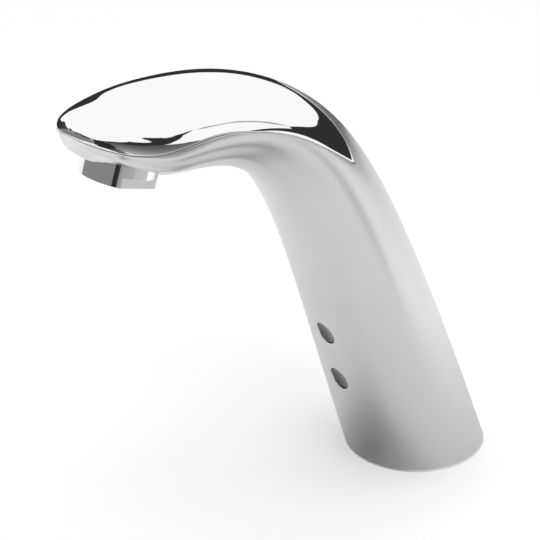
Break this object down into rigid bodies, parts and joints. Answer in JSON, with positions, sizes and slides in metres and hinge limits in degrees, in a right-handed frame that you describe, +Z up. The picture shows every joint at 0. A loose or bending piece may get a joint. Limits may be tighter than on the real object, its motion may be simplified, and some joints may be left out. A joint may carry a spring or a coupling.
{
  "type": "sensor tap",
  "caption": "Touch-free basin tap: a leaned satin column sweeps into a flat, pointed spout with a mirror-polished top cover, an angled aerator and two sensor windows low on its front.",
  "frame": {"origin": "centre of the round foot, on the deck that the tap stands on", "axes": "+Z up, spout along -Y, +X to the tap's left as its user stands before the spout; outside symmetric about the plane x = 0"},
  "size_m": [0.0504, 0.1716, 0.1665],
  "materials": {
    "satin_chrome": "fine satin chrome plate on cast brass",
    "polished_chrome": "mirror-polished chrome plate",
    "raw_brass": "plain machined",
    "stainless": "turned stainless steel",
    "spring_steel": "drawn spring wire",
    "black_plastic": "moulded, matt",
    "white_plastic": "moulded, matt",
    "grey_plastic": "moulded, matt",
    "smoked_lens": "glossy infrared-pass plastic",
    "black_rubber": "moulded seal",
    "board_green": "coated laminate",
    "copper_winding": "wound enamelled wire under clear tape",
    "black_epoxy": "moulded component body",
    "lead_jacket": "extruded jacket"
  },
  "bodies": {
    "tap": {"body_shell": "satin_chrome", "top_cover": "polished_chrome", "cover_seat": "grey_plastic", "aerator_ring": "polished_chrome", "aerator_cartridge": "white_plastic", "aerator_screen": "stainless", "aerator_seal": "black_rubber", "outlet_nozzle": "raw_brass", "water_tube": "white_plastic", "tube_collets": "grey_plastic", "emitter_lens": "smoked_lens", "receiver_lens": "smoked_lens", "lens_seals": "black_rubber", "sensor_housing": "black_plastic", "sensor_back": "black_plastic", "circuit_board": "board_green", "control_chip": "black_epoxy", "infrared_emitter": "black_epoxy", "infrared_receiver": "black_epoxy", "sensor_screws": "stainless", "sensor_lead": "lead_jacket", "coil_lead": "lead_jacket", "valve_body": "black_plastic", "diaphragm": "black_rubber", "valve_bonnet": "grey_plastic", "valve_screws": "stainless", "plunger_spring": "spring_steel", "pole_piece": "stainless", "coil_bobbin": "black_plastic", "coil_winding": "copper_winding", "coil_yoke": "stainless", "coil_nut": "raw_brass", "base_plug": "raw_brass", "plug_seal": "black_rubber", "base_seal": "black_rubber", "base_screws": "stainless", "inlet_strainer": "stainless", "check_spring": "spring_steel", "check_guide": "grey_plastic", "cable_gland": "black_rubber"},
    "solenoid_armature": {"plunger": "stainless", "plunger_tip": "black_rubber"},
    "membrane_insert": {"diaphragm_insert": "white_plastic"},
    "check_valve_poppet": {"check_poppet": "white_plastic"}
  },
  "joints": [
    {"name": "plunger_slide", "type": "slide", "parent": "tap", "child": "solenoid_armature", "axis": [0, -0.3502, 0.9367], "range_m": [0, 0.0015], "stiffness_N_per_m": 300, "springref_m": -0.003, "deforming": ["plunger_spring"]},
    {"name": "membrane_lift", "type": "slide", "parent": "tap", "child": "membrane_insert", "axis": [0, -0.3502, 0.9367], "range_m": [0, 0.00135], "deforming": ["diaphragm"]},
    {"name": "check_slide", "type": "slide", "parent": "tap", "child": "check_valve_poppet", "axis": [0, -0.3502, 0.9367], "range_m": [0, 0.002], "stiffness_N_per_m": 60, "springref_m": -0.004, "deforming": ["check_spring"]}
  ],
  "couplings": [
    {"joint": "membrane_lift", "follows": "plunger_slide", "ratio": 0.9}
  ]
}
